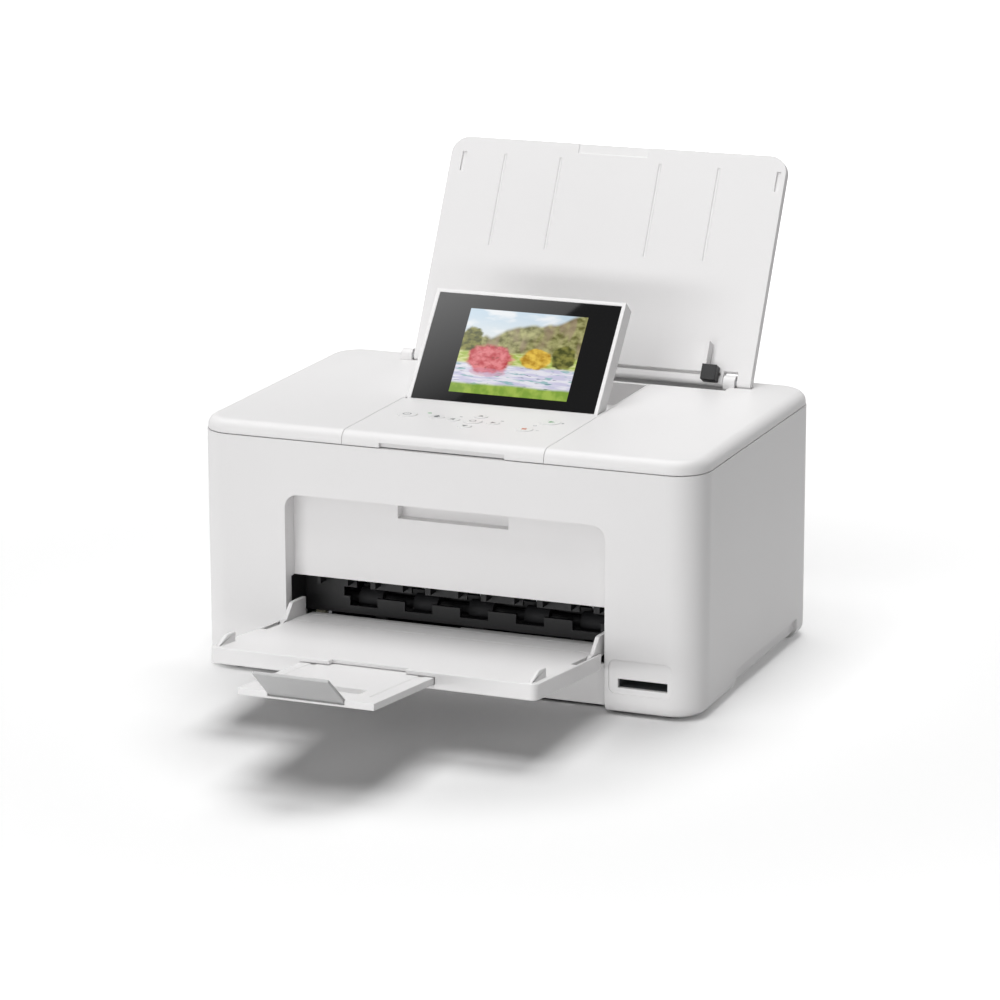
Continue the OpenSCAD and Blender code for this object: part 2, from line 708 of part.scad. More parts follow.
module display_case() {
  b = 1;
  color("white") display_frame() difference() {
    union() {
      translate([disp_x - disp_w / 2, b, 3 - disp_t]) cube([disp_w, disp_len, disp_t]);
      for (s = [-1, 1]) translate([disp_x + s * (disp_w / 2 - 6), 0, 0]) bar(-6, 6, 2.2);
      for (s = [-1, 1]) translate([disp_x + s * (disp_w / 2 - 6) - 6, -0.2, -2.2]) cube([12, 2, 3]);
    }
    translate([disp_x - disp_w / 2 + 2, b + 1, 3 - 1.6]) cube([disp_w - 4, disp_len - 3, 3]);
    translate([disp_x - disp_w / 2 + 5, b + 4, 3 - disp_t + 1.6]) cube([disp_w - 10, disp_len - 9, disp_t]);
  }
  color("white") display_frame() for (s = [-1, 1]) translate([disp_x + s * (disp_w / 2 - 0.5), 0, 0])
    bar(-1.4, 1.4, 1.2);
}

module display_glass() {
  color("black") display_frame()
    translate([disp_x - disp_w / 2 + 2.1, 2.1, 1.4]) cube([disp_w - 4.2, disp_len - 3.2, 1.5]);
}

module display_panel() {
  color("lightblue") display_frame()
    translate([disp_x - 34, 5.4, -2]) cube([68, 48.6, 3.4]);
}

// ---- sheet feed ----

module paper_support() {
  r = 9;
  color("white") support_frame() difference() {
    union() {
      translate([sup_x, 0, 0]) rotate([90, 0, 0]) translate([0, 0, -sup_t]) linear_extrude(sup_t) {
        translate([-sup_w / 2, sup_ax_s]) square([sup_w, sup_len - sup_ax_s - r]);
        translate([-sup_w / 2 + r, sup_ax_s]) square([sup_w - 2 * r, sup_len - sup_ax_s]);
        for (s = [-1, 1]) translate([s * (sup_w / 2 - r), sup_len - r]) circle(r);
      }
      translate([sup_x - sup_w / 2, sup_t / 2, sup_ax_s]) bar(0, sup_w, sup_t / 2);
    }
    // raised rim left round a thinner back
    translate([sup_x - sup_w / 2 + 4, sup_t - 1.6, 16]) cube([sup_w - 8, 3, sup_len - 26]);
    // four paper grooves
    for (x = [-48.5, -19, 33, 63.5]) translate([x - 0.6, -0.5, 62]) cube([1.2, 1, 47.5]);
    // latch slots
    for (x = [-70.5, 94.2]) translate([x - 1, -0.5, 99.5]) cube([2, 1.7, 10]);
    // finger notch outline at the top
    translate([7.5, -0.6, sup_len - 5]) rotate([90, 0, 0]) translate([0, 0, -1.2])
      linear_extrude(1.2) translate([-18, 0]) square([36, 6]);
    // track of the edge guide
    translate([24, -1, 5.4]) cube([57.9, sup_t - 1, 1.6]);
    // notch round the right lug
    translate([lug_x - 0.6, -3, -3]) cube([7.1, 12, 11]);
    // pin sockets
    translate([0, sup_t / 2, sup_ax_s]) {
      bar(sup_x - sup_w / 2 - 1, sup_x - sup_w / 2 + 9, 1.6);
      bar(lug_x - 6, sup_x + sup_w / 2 - 1.5, 1.6);
    }
  }
}

module support_pins() {
  color("silver") translate([0, sup_ax_y, sup_ax_z]) {
    bar(sup_x - sup_w / 2 - 6.5, sup_x - sup_w / 2 + 9, 1.6);
    bar(lug_x - 6, sup_x + sup_w / 2 - 1.5, 1.6);
  }
}

// Fixed edge of the paper path on the support
module edge_stop() {
  color("black") support_frame()
    translate([guide_x - paper_w - 7, -6, 1.8]) cube([7, 6, 7.6]);
  color("white") support_frame()
    translate([guide_x - paper_w - 2, -6, 9.4]) cube([2, 6, 11.6]);
}

module edge_guide() {
  color("black") support_frame() {
    translate([guide_x, -6.2, 1.8]) cube([7.4, 6, 7.6]);
    translate([guide_x + 1, -1, 5.7]) cube([5.4, sup_t - 1.4 + 0.1, 1]);
  }
  color("white") support_frame() translate([guide_x, -6.2, 9.4]) cube([2, 6, 11.6]);
}

// Funnel under the feed opening
module feed_throat() {
  color("white") difference() {
    box(guide_x - paper_w - 9.2, guide_x + 15, well_y1 + 1.4, 74.6, 112, top_z - 2.5);
    box(guide_x - paper_w - 7.6, guide_x + 13.4, well_y1 + 2.6, 73.2, 111, top_z);
  }
}

// Plate that turns the paper from the support to the platen
module feed_guide() {
  c = cos(guide_lean);
  n = sin(guide_lean);
  r1 = arc_r + 1.2;
  r2 = arc_r + 3;
  run = (111 - arc_z + r1 * n) / c;
  color("dimgray") {
    translate([-60, 0, 0]) rotate([90, 0, 90]) linear_extrude(147) translate([arc_y, arc_z]) {
      intersection() {
        difference() {
          circle(r2, $fn = 128);
          circle(r1, $fn = 128);
        }
        polygon([[0, 0], [90 * c, -90 * n], [90, -90], [0, -90]]);
      }
      polygon([[r1 * c, -r1 * n], [r2 * c, -r2 * n], [r2 * c + run * n, -r2 * n + run * c],
        [r1 * c + run * n, -r1 * n + run * c]]);
    }
    for (x = [-60, 85]) box(x, x + 2, 30, 46, pan_z, 42);
    for (x = [-60, 85]) box(x, x + 2, 43, 46, 41, 55);
  }
}

// ---- paper drive ----

module side_frames() {
  color("lightgray") for (x = [frame_x0, frame_x1]) difference() {
    translate([x, 0, 0]) rotate([90, 0, 90]) linear_extrude(1.6) polygon([[-56.5, pan_z], [46, pan_z],
      [46, 96], [-8, 104], [-40, 104], [-56.5, 60]]);
    translate([0, line_y, line_z]) bar(x - 1, x + 3, 3 + run_gap);
    translate([0, exit_y, exit_z]) bar(x - 1, x + 3, 2.5 + run_gap);
    translate([0, pick_y, pick_z]) bar(x - 1, x + 3, 3 + run_gap);
    translate([0, rod_y, rod_z]) bar(x - 1, x + 3, rod_r);
    translate([0, idler_yz[0], idler_yz[1]]) bar(x - 1, x + 3, stub_r + run_gap);
    translate([0, low_y, low_z]) bar(x - 1, x + 3, stub_r + run_gap);
    translate([0, high_yz[0], high_yz[1]]) bar(x - 1, x + 3, stub_r + run_gap);
    translate([0, motor_y, motor_z]) bar(x - 1, x + 3, 2);
  }
  // bracket of the idle pulley
  color("lightgray") difference() {
    box(frame_x0 + 1.5, -50, 2, 3.6, 76, 96);
    translate([pulley_x0, 0, belt_z]) rotate([-90, 0, 0]) cylinder(20, 1.5 + run_gap, 1.5 + run_gap);
  }
  // beam tying the two plates behind the carriage
  color("lightgray") box(frame_x0 + 1.6, frame_x1, -41, -39.6, 92, 104);
}

module line_roller() {
  color("gray") translate([0, line_y, line_z]) {
    bar(-56, 76, line_r);
    bar(gear_x - 1, frame_x1 + 3, 3);
    gear_x_axis(line_n, ph_line, 0, gear_x, gear_w);
  }
}

module pinch_rollers() {
  color("gray") for (x = pinch_x) translate([0, line_y + 1, line_z + line_r + 0.3 + 3.5]) {
    bar(x - 6, x + 6, 3.5);
    bar(x - 8.4, x + 8.4, 1.2);
  }
}

module platen() {
  color("black") difference() {
    box(-58, 80, -42.2, -6.4, 26, 37.2);
    for (x = [-52 : 8 : 72]) box(x, x + 5, -40, -12, 34, 40);
  }
  color("black") for (x = [-50, 0, 50]) box(x - 3, x + 3, -40, -10, pan_z, 26);
}

module exit_roller() {
  color("gray") translate([0, exit_y, exit_z]) {
    bar(gear_x - 1, frame_x1 + 3, 2.5);
    for (x = star_x) bar(x - 6, x + 6, exit_r);
    gear_x_axis(exit_n, ph_exit, 0, gear_x, gear_w);
  }
}

exit_idler_y = (line_y * exit_n + exit_y * line_n) / (exit_n + line_n);
function idler_pos(y0, z0, d0, y1, z1, d1, side) =
  let (d = norm([y1 - y0, z1 - z0]), a = (d0 * d0 - d1 * d1 + d * d) / (2 * d), h = sqrt(d0 * d0 - a * a),
    ey = (y1 - y0) / d, ez = (z1 - z0) / d)
  [y0 + a * ey - side * h * ez, z0 + a * ez + side * h * ey];
d_line_idler = gear_m * (line_n + exit_idler_n) / 2;
d_idler_exit = gear_m * (exit_idler_n + exit_n) / 2;
idler_yz = idler_pos(line_y, line_z, d_line_idler, exit_y, exit_z, d_idler_exit, -1);
low_a = 53;
low_d = gear_m * (line_n + feed_idler_n) / 2;
low_y = line_y + low_d * cos(low_a);
low_z = line_z + low_d * sin(low_a);
high_yz = idler_pos(low_y, low_z, gear_m * feed_idler_n, pick_y, pick_z, gear_m * (feed_idler_n + pick_n) / 2, -1);
motor_a = -20;
motor_d = gear_m * (line_n + motor_n) / 2;
motor_y = line_y + motor_d * cos(motor_a);
motor_z = line_z + motor_d * sin(motor_a);
ph_line = 0;
ph_idler = mesh_phase(angle_yz(line_y, line_z, idler_yz[0], idler_yz[1]), ph_line, line_n, exit_idler_n);
ph_exit = mesh_phase(angle_yz(idler_yz[0], idler_yz[1], exit_y, exit_z), ph_idler, exit_idler_n, exit_n);
ph_low = mesh_phase(low_a, ph_line, line_n, feed_idler_n);
ph_high = mesh_phase(angle_yz(low_y, low_z, high_yz[0], high_yz[1]), ph_low, feed_idler_n, feed_idler_n);
ph_pick = mesh_phase(angle_yz(high_yz[0], high_yz[1], pick_y, pick_z), ph_high, feed_idler_n, pick_n);
ph_motor = mesh_phase(motor_a, ph_line, line_n, motor_n);

module star_wheels() {
  color("gray") for (x = star_x) translate([0, exit_y, exit_z + exit_r + 0.3 + 4]) {
    bar(x - 0.5, x + 0.5, 4);
    bar(x - 3.2, x + 3.2, 0.8);
  }
}

// Arms and beams that carry the pinch rollers and the star wheels
module roller_holders() {
  py = line_y + 1;
  pz = line_z + line_r + 3.8;
  sz = exit_z + exit_r + 4.3;
  color("dimgray") difference() {
    union() {
      for (x = pinch_x, s = [-1, 1]) box(x + s * 7.6 - 0.8, x + s * 7.6 + 0.8, py - 2, py + 2, pz - 2, 50.01);
      box(frame_x0 + 1.6, frame_x1, py - 2, py + 2, 50, 52);
    }
    for (x = pinch_x) translate([0, py, pz]) bar(x - 9, x + 9, 1.2 + run_gap);
  }
  color("black") difference() {
    union() {
      for (x = star_x, s = [-1, 1]) box(x + s * 2.4 - 0.5, x + s * 2.4 + 0.5, exit_y - 1.5, exit_y + 1.5,
        sz - 1.6, 49.01);
      box(frame_x0 + 1.6, frame_x1, exit_y - 3, exit_y + 3, 49, 50.8);
    }
    for (x = star_x) translate([0, exit_y, sz]) bar(x - 4, x + 4, 0.8 + run_gap);
  }
}

module pick_roller() {
  color("gray") translate([0, pick_y, pick_z]) {
    bar(gear_x - 1, frame_x1 + 3, 3);
    bar(sup_x - 15, sup_x + 15, pick_r);
    gear_x_axis(pick_n, ph_pick, 0, gear_x, gear_w);
  }
}

module exit_idler() {
  color("ivory") translate([0, idler_yz[0], idler_yz[1]]) {
    gear_x_axis(exit_idler_n, ph_idler, 0, gear_x, gear_w);
    bar(gear_x, frame_x0 + 2.4, stub_r);
  }
}

module feed_idler_low() {
  color("ivory") translate([0, low_y, low_z]) {
    gear_x_axis(feed_idler_n, ph_low, 0, gear_x, gear_w);
    bar(gear_x, frame_x0 + 2.4, stub_r);
  }
}

module feed_idler_high() {
  color("ivory") translate([0, high_yz[0], high_yz[1]]) {
    gear_x_axis(feed_idler_n, ph_high, 0, gear_x, gear_w);
    bar(gear_x, frame_x0 + 2.4, stub_r);
  }
}

module feed_motor() {
  color("silver") translate([0, motor_y, motor_z]) difference() {
    bar(frame_x0 + 1.7, frame_x0 + 26, 8.5);
    bar(frame_x0 + 1, frame_x0 + 9, 1.2 + run_gap);
  }
}

module motor_pinion() {
  color("gold") translate([0, motor_y, motor_z]) {
    gear_x_axis(motor_n, ph_motor, 0, gear_x, gear_w);
    bar(gear_x, frame_x0 + 8, 1.2);
  }
}

module guide_rod() {
  color("silver") translate([0, rod_y, rod_z]) bar(frame_x0 - 2, frame_x1 + 3.6, rod_r);
}

module carriage() {
  x0 = car_x - car_w / 2;
  x1 = car_x + car_w / 2;
  color("black") difference() {
    union() {
      box(x0, x1, -36, -2, 42, 80);
      box(x0, x1, -2.01, rod_y + 5, rod_z - 6, rod_z + 6);
      box(x0 + 6, x1 - 6, -32, -8, 39, 42.01);
      // fork that grips the belt
      box(car_x - 8, car_x + 8, -2.01, belt_y + 3.6, belt_z - 10, belt_z - 3.4);
    }
    translate([0, rod_y, rod_z]) bar(x0 - 1, x1 + 1, rod_r + run_gap);
    box(x0 + 2, x1 - 2, -34, -4, 60, 90);
    box(car_x - 9, car_x + 9, belt_y - 3, belt_y + 3, belt_z - 7.3, belt_z - 5.8);
  }
}

module print_head() {
  x0 = car_x - car_w / 2;
  color("gray") {
    box(x0 + 2.4, x0 + car_w - 2.4, -33.6, -4.4, 60, 74);
    box(x0 + 8, x0 + car_w - 8, -30, -10, 74, 76);
  }
}

module pulley(x) {
  translate([x, belt_y, belt_z]) rotate([90, 0, 0]) {
    cylinder(5.6, 6, 6, center = true);
    for (s = [-1, 1]) translate([0, 0, s * 3.2]) cylinder(0.8, 7.6, 7.6, center = true);
  }
}

module drive_pulley() {
  color("silver") {
    pulley(pulley_x1);
    translate([pulley_x1, belt_y, belt_z]) rotate([-90, 0, 0]) cylinder(8, 1.5, 1.5);
  }
}

module idle_pulley() {
  color("silver") {
    pulley(pulley_x0);
    translate([pulley_x0, 1.4, belt_z]) rotate([-90, 0, 0]) cylinder(belt_y - 1, 1.5, 1.5);
  }
}

module carriage_motor() {
  color("silver") difference() {
    union() {
      box(pulley_x1 - 10, frame_x1, 14.4, 16, belt_z - 14, belt_z + 14);
      translate([pulley_x1, 16, belt_z]) rotate([-90, 0, 0]) cylinder(19, 10, 10);
    }
    translate([pulley_x1, 10, belt_z]) rotate([-90, 0, 0]) cylinder(9, 1.5 + run_gap, 1.5 + run_gap);
  }
}

module timing_belt() {
  color("black") translate([0, belt_y, belt_z]) difference() {
    union() {
      for (x = [pulley_x0, pulley_x1]) translate([x, 0, 0]) rotate([90, 0, 0]) cylinder(5, 7, 7, center = true);
      translate([(pulley_x0 + pulley_x1) / 2, 0, 0]) cube([pulley_x1 - pulley_x0, 5, 14], center = true);
    }
    for (x = [pulley_x0, pulley_x1]) translate([x, 0, 0]) rotate([90, 0, 0]) cylinder(6, 6.1, 6.1, center = true);
    translate([(pulley_x0 + pulley_x1) / 2, 0, 0]) cube([pulley_x1 - pulley_x0, 6, 12.2], center = true);
  }
}

module main_board() {
  color("darkgreen") box(board_x, board_x + 37, -38, 30, floor_z + 6, floor_z + 7.6);
  color("black") for (p = [[board_x + 7, -30, 14], [board_x + 24, -10, 10], [board_x + 15, 12, 12]])
    box(p[0] - p[2] / 2, p[0] + p[2] / 2, p[1] - p[2] / 2, p[1] + p[2] / 2, floor_z + 7.6, floor_z + 9.4);
}

housing();
base_pan();
rubber_feet();
case_screws();
top_cover();
control_panel();
recess_frame();
exit_ledge();
exit_guide();
card_reader();
rear_door();
power_inlet();
usb_port();
lift_arms();
front_tray();
tray_pins();
tray_extension();
stopper();
display_case();
display_glass();
display_panel();
paper_support();
support_pins();
edge_stop();
edge_guide();
feed_throat();
feed_guide();
key_power();
key_home();
key_up();
key_down();
key_left();
key_right();
key_ok();
key_start();
key_stop();
status_lamp();
side_frames();
line_roller();
pinch_rollers();
platen();
exit_roller();
star_wheels();
roller_holders();
pick_roller();
exit_idler();
feed_idler_low();
feed_idler_high();
feed_motor();
motor_pinion();
guide_rod();
carriage();
timing_belt();
main_board();
print_head();
drive_pulley();
idle_pulley();
carriage_motor();
cartridge_bay();
ink_cartridge();
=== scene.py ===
import json
import math

import bmesh
import bpy
from mathutils import Matrix, Vector

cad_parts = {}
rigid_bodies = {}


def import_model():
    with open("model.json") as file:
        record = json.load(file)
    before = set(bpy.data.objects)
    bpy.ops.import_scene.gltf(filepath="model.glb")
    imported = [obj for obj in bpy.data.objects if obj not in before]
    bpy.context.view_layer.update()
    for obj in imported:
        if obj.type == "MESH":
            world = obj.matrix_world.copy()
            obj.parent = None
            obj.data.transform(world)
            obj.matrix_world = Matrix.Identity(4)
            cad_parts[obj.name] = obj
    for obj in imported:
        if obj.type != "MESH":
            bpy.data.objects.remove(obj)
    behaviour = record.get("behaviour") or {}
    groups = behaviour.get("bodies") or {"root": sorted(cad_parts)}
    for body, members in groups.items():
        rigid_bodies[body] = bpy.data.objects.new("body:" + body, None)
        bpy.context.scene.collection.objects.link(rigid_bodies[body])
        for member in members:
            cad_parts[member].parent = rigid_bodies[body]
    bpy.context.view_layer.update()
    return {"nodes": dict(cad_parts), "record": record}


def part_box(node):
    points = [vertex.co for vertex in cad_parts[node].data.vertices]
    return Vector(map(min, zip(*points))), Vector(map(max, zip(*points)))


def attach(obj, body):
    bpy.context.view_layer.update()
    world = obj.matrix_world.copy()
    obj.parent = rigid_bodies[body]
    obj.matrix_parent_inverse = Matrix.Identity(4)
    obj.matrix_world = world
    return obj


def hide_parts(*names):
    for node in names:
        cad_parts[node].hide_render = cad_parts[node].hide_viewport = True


MM = 0.001

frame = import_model()


# ---- colours and nodes ----

# the colour inputs of a Mix node, and the settings that make one
SHARE, BELOW, ABOVE = 0, 6, 7
COLOURS = {"data_type": "RGBA"}
# a Map Range node that rises softly from 0 at its first limit to 1 at its second, also backwards
SOFT_STEP = {"interpolation_type": "SMOOTHSTEP"}


def linear(code):
    """An sRGB hex colour as linear red, green, blue and alpha."""
    parts = [int(code[i : i + 2], 16) / 255 for i in (1, 3, 5)]
    return [c / 12.92 if c <= 0.04045 else ((c + 0.055) / 1.055) ** 2.4 for c in parts] + [1.0]


def add(tree, kind, inputs=(), **settings):
    """Adds a node with its settings.

    The inputs are a list in the node's own order, or go by name or number. Each takes a plain value,
    a hex colour, a socket, or a node whose first live output is meant.
    """
    node = tree.nodes.new("ShaderNode" + kind)
    for name, value in settings.items():
        setattr(node, name, value)
    for name, value in inputs.items() if isinstance(inputs, dict) else enumerate(inputs):
        if isinstance(value, bpy.types.Node):
            value = [output for output in value.outputs if output.enabled][0]
        if isinstance(value, bpy.types.NodeSocket):
            tree.links.new(value, node.inputs[name])
        else:
            node.inputs[name].default_value = linear(value) if isinstance(value, str) else value
    return node


def new_material(name):
    """An empty material with its output node and its Object coordinates."""
    made = bpy.data.materials.new(name)
    made.use_nodes = True
    tree = made.node_tree
    tree.nodes.clear()
    out = add(tree, "OutputMaterial")
    place = add(tree, "TexCoord").outputs["Object"]
    # what glows here isn't sampled as a lamp, so only the rays that happen to meet it carry its light
    made.cycles.emission_sampling = "NONE"
    return made, tree, out, place


def local_mm(tree, place, origin_mm=(0, 0, 0), turn_deg=0):
    """x, y and z in mm from an origin, on axes turned about X."""
    turned = add(tree, "Mapping", {"Vector": place, "Location": [c * MM for c in origin_mm],
                                   "Rotation": (math.radians(turn_deg), 0, 0), "Scale": (MM, MM, MM)},
                 vector_type="TEXTURE")
    return add(tree, "SeparateXYZ", [turned]).outputs


# ---- finishes ----

DRIFT_MM = 70  # the size of the slow drift between a finish's two colours
GRAIN_DETAIL = 3.0


def finish_of(name, base, shade, roughness, grain_mm, depth_mm, metallic=0.0, stretch=(1, 1, 1),
              edge_mm=0.0, paint=None, glow=None, spread=(0.04, 0.05)):
    """A surface with a fine relief of the given grain and a slow drift between two close colours.

    paint(tree, place, colour) may lay a second colour over it, and give the metallic share too.
    glow(tree, place) gives the colour and the strength of what shines through it.
    """
    made, tree, out, place = new_material(name)
    turned = add(tree, "Mapping", {"Vector": place, "Scale": stretch})
    grain = add(tree, "TexNoise", {"Vector": turned, "Scale": 1 / (grain_mm * MM), "Detail": GRAIN_DETAIL})
    drift = add(tree, "TexNoise", {"Vector": place, "Scale": 1 / (DRIFT_MM * MM), "Detail": 2.0})
    gloss = add(tree, "MapRange", {"Value": grain, "To Min": roughness - spread[0],
                                   "To Max": roughness + spread[1]})
    relief = add(tree, "Bump", {"Height": grain, "Distance": depth_mm * MM, "Strength": 1.0})
    if edge_mm:
        soft = add(tree, "Bevel", {"Radius": edge_mm * MM}, samples=4)
        tree.links.new(soft.outputs["Normal"], relief.inputs["Normal"])
    tint = add(tree, "Mix", {SHARE: drift, BELOW: base, ABOVE: shade}, **COLOURS)
    surface = {"Base Color": tint, "Roughness": gloss, "Normal": relief, "Metallic": metallic}
    if paint:
        surface["Base Color"], metal = paint(tree, place, tint)
        if metal:
            surface["Metallic"] = metal
    if glow:
        surface["Emission Color"], surface["Emission Strength"] = glow(tree, place)
    skin = add(tree, "BsdfPrincipled", surface)
    tree.links.new(skin.outputs["BSDF"], out.inputs["Surface"])
    return made


# ---- masks for printed marks, in mm ----

MARK_SOFT = 0.12  # a printed edge fades over this much to either side
INK_DEPTHS = 0.2, 0.1  # ink fades in between these depths below a top, so it lies on that face alone


def ring(tree, x, y, centre, inner, outer):
    """1 between two radii about a centre."""
    spot = add(tree, "CombineXYZ", [x, y])
    far = add(tree, "VectorMath", [spot, (*centre, 0)], operation="DISTANCE")
    disc = add(tree, "MapRange", [far, outer + MARK_SOFT, outer - MARK_SOFT], **SOFT_STEP)
    rim = add(tree, "MapRange", [far, inner - MARK_SOFT, inner + MARK_SOFT], **SOFT_STEP)
    return add(tree, "Math", [disc, rim], operation="MULTIPLY")


def slab(tree, value, low, high):
    """1 while the value is between two limits."""
    start = add(tree, "MapRange", [value, low - MARK_SOFT, low + MARK_SOFT], **SOFT_STEP)
    end = add(tree, "MapRange", [value, high + MARK_SOFT, high - MARK_SOFT], **SOFT_STEP)
    return add(tree, "Math", [start, end], operation="MULTIPLY")


def oblong(tree, x, y, centre, wide, high):
    """1 inside a rectangle."""
    across = slab(tree, x, centre[0] - wide / 2, centre[0] + wide / 2)
    upward = slab(tree, y, centre[1] - high / 2, centre[1] + high / 2)
    return add(tree, "Math", [across, upward], operation="MULTIPLY")


def arrow(tree, x, y, centre, turn_deg, size):
    """A small triangle that points along an angle from X."""
    slope, foot = 0.6, 0.5
    spot = add(tree, "CombineXYZ", [x, y])
    turned = add(tree, "Mapping", {"Vector": spot, "Location": (*centre, 0),
                                   "Rotation": (0, 0, math.radians(turn_deg))}, vector_type="TEXTURE")
    ahead, aside, _ = add(tree, "SeparateXYZ", [turned]).outputs
    beside = add(tree, "Math", [aside], operation="ABSOLUTE")
    flank = add(tree, "Math", [ahead, slope, beside], operation="MULTIPLY_ADD")
    sides = add(tree, "MapRange", [flank, size * slope + MARK_SOFT, size * slope - MARK_SOFT], **SOFT_STEP)
    back = add(tree, "MapRange", [ahead, -size * foot - MARK_SOFT, -size * foot + MARK_SOFT], **SOFT_STEP)
    return add(tree, "Math", [sides, back], operation="MULTIPLY")


def printed(tree, tint, ink, shapes, z, top):
    """The shapes in ink on the flat top of a piece, which lies at that height."""
    start, end = (top - depth for depth in INK_DEPTHS)
    shown = add(tree, "MapRange", [z, start, end], **SOFT_STEP)
    total = shapes[0]
    for shape in shapes[1:]:
        total = add(tree, "Math", [total, shape], operation="MAXIMUM")
    share = add(tree, "Math", [total, shown], operation="MULTIPLY")
    return add(tree, "Mix", {SHARE: share, BELOW: tint, ABOVE: ink}, **COLOURS), None


# ---- printed marks ----

KEYS = ("power", "home", "up", "down", "left", "right", "ok", "start", "stop")
POINTING = {"up": 90, "down": 270, "left": 180, "right": 0}


def top_of(node):
    """The height of a node's top in mm."""
    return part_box(node)[1].z / MM


def cap_of(which):
    """The centre and the radius of a key's cap in mm, measured on its top face."""
    key = "key_" + which
    just_under = (top_of(key) - 0.1) * MM
    rim = [v.co / MM for v in frame["nodes"][key].data.vertices if v.co.z > just_under]
    cx, cy = ((min(v[i] for v in rim) + max(v[i] for v in rim)) / 2 for i in (0, 1))
    return cx, cy, max(math.hypot(v.x - cx, v.y - cy) for v in rim)


def key_mark(which):
    """The small printed shape on one key cap, at its true place."""
    def paint(tree, place, tint):
        x, y, z = local_mm(tree, place)
        cx, cy, _ = cap_of(which)
        ink = "#6E7073"
        if which == "power":
            gap = add(tree, "Math", [1.0, oblong(tree, x, y, (cx, cy + 1.9), 1.3, 1.8)], operation="SUBTRACT")
            broken = add(tree, "Math", [ring(tree, x, y, (cx, cy), 1.5, 2.1), gap], operation="MULTIPLY")
            shapes = [broken, oblong(tree, x, y, (cx, cy + 1.4), 0.45, 1.9)]
        elif which == "home":
            walls = oblong(tree, x, y, (cx, cy - 0.7), 1.9, 1.4)
            shapes = [walls, arrow(tree, x, y, (cx, cy + 0.9), 90, 1.9)]
        elif which == "start":
            ink = "#3F8A52"
            shapes = [oblong(tree, x, y, (cx, cy), 0.7, 2.6), arrow(tree, x, y, (cx + 1.0, cy), 0, 1.7)]
        elif which == "stop":
            ink = "#C25B33"
            shapes = [oblong(tree, x, y, (cx, cy), 2.4, 2.4)]
        elif which == "ok":
            shapes = [ring(tree, x, y, (cx, cy), 1.2, 1.7)]
        else:
            shapes = [arrow(tree, x, y, (cx, cy), POINTING[which], 1.7)]
        return printed(tree, tint, ink, shapes, z, top_of("key_" + which))
    return paint


def deck_marks(tree, place, tint):
    """Small printed signs beside the keys."""
    x, y, z = local_mm(tree, place)
    signs = [ring(tree, x, y, (29.0, -41.5), 0.5, 0.9)]
    for centre, wide, high in (((11.6, -38.6), 1.6, 1.0), ((-9.5, -37.5), 1.4, 1.0),
                               ((39.5, -33.0), 1.2, 1.6), ((33.5, -50.0), 1.6, 0.5)):
        signs.append(oblong(tree, x, y, centre, wide, high))
    return printed(tree, tint, "#8A8C8F", signs, z, top_of("control_panel"))


# ---- pieces of two colours ----

SUPPORT_FOOT, SUPPORT_LEAN_DEG = (0, 64, 121.7), -28  # the paper support's lower edge, and its lean
BLOCK_TOP = (9.38, 9.42)  # a paper guide's black block ends this far up the support
GEAR_WIDE = 6.5  # the gear at a roller's left end


def light_fin(tree, place, tint):
    """The part of a paper guide above its black block is moulded in the case colour."""
    x, y, z = local_mm(tree, place, SUPPORT_FOOT, SUPPORT_LEAN_DEG)
    above = add(tree, "MapRange", [z, *BLOCK_TOP], **SOFT_STEP)
    return add(tree, "Mix", {SHARE: above, BELOW: tint, ABOVE: "#E5E4E4"}, **COLOURS), None


def roller_parts(node, shaft_mm, shaft="#C6C8CB", metal=True):
    """Shaft and ivory gear of a roller whose tyres are rubber."""
    low, high = (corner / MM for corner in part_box(node))
    axis = (low + high) / 2

    def paint(tree, place, tint):
        x, y, z = local_mm(tree, place, (0, axis.y, axis.z))
        spot = add(tree, "CombineXYZ", [0.0, y, z])
        far = add(tree, "VectorMath", [spot], operation="LENGTH")
        core = add(tree, "MapRange", [far, shaft_mm + 0.06, shaft_mm + 0.02], **SOFT_STEP)
        gear = slab(tree, x, low.x, low.x + GEAR_WIDE)
        bare = add(tree, "Mix", {SHARE: core, BELOW: tint, ABOVE: shaft}, **COLOURS)
        coloured = add(tree, "Mix", {SHARE: gear, BELOW: bare, ABOVE: "#E4DFCC"}, **COLOURS)
        beyond = add(tree, "Math", [1.0, gear], operation="SUBTRACT")
        share = add(tree, "Math", [core, beyond], operation="MULTIPLY")
        return coloured, share if metal else None
    return paint


# ---- the lit panel ----

DISPLAY_HINGE, DISPLAY_LEAN_DEG = (0, -9.4, 118.4), 50
LIT_LEFT, LIT_RIGHT = -28.7, 31.2  # the lit field on the window, across from the hinge's middle
LIT_FOOT, LIT_HEAD = 7.1, 52.1  # and up from the hinge
WINDOW_FACE = (2.8, 2.85)
PANEL_LIGHT = 0.86


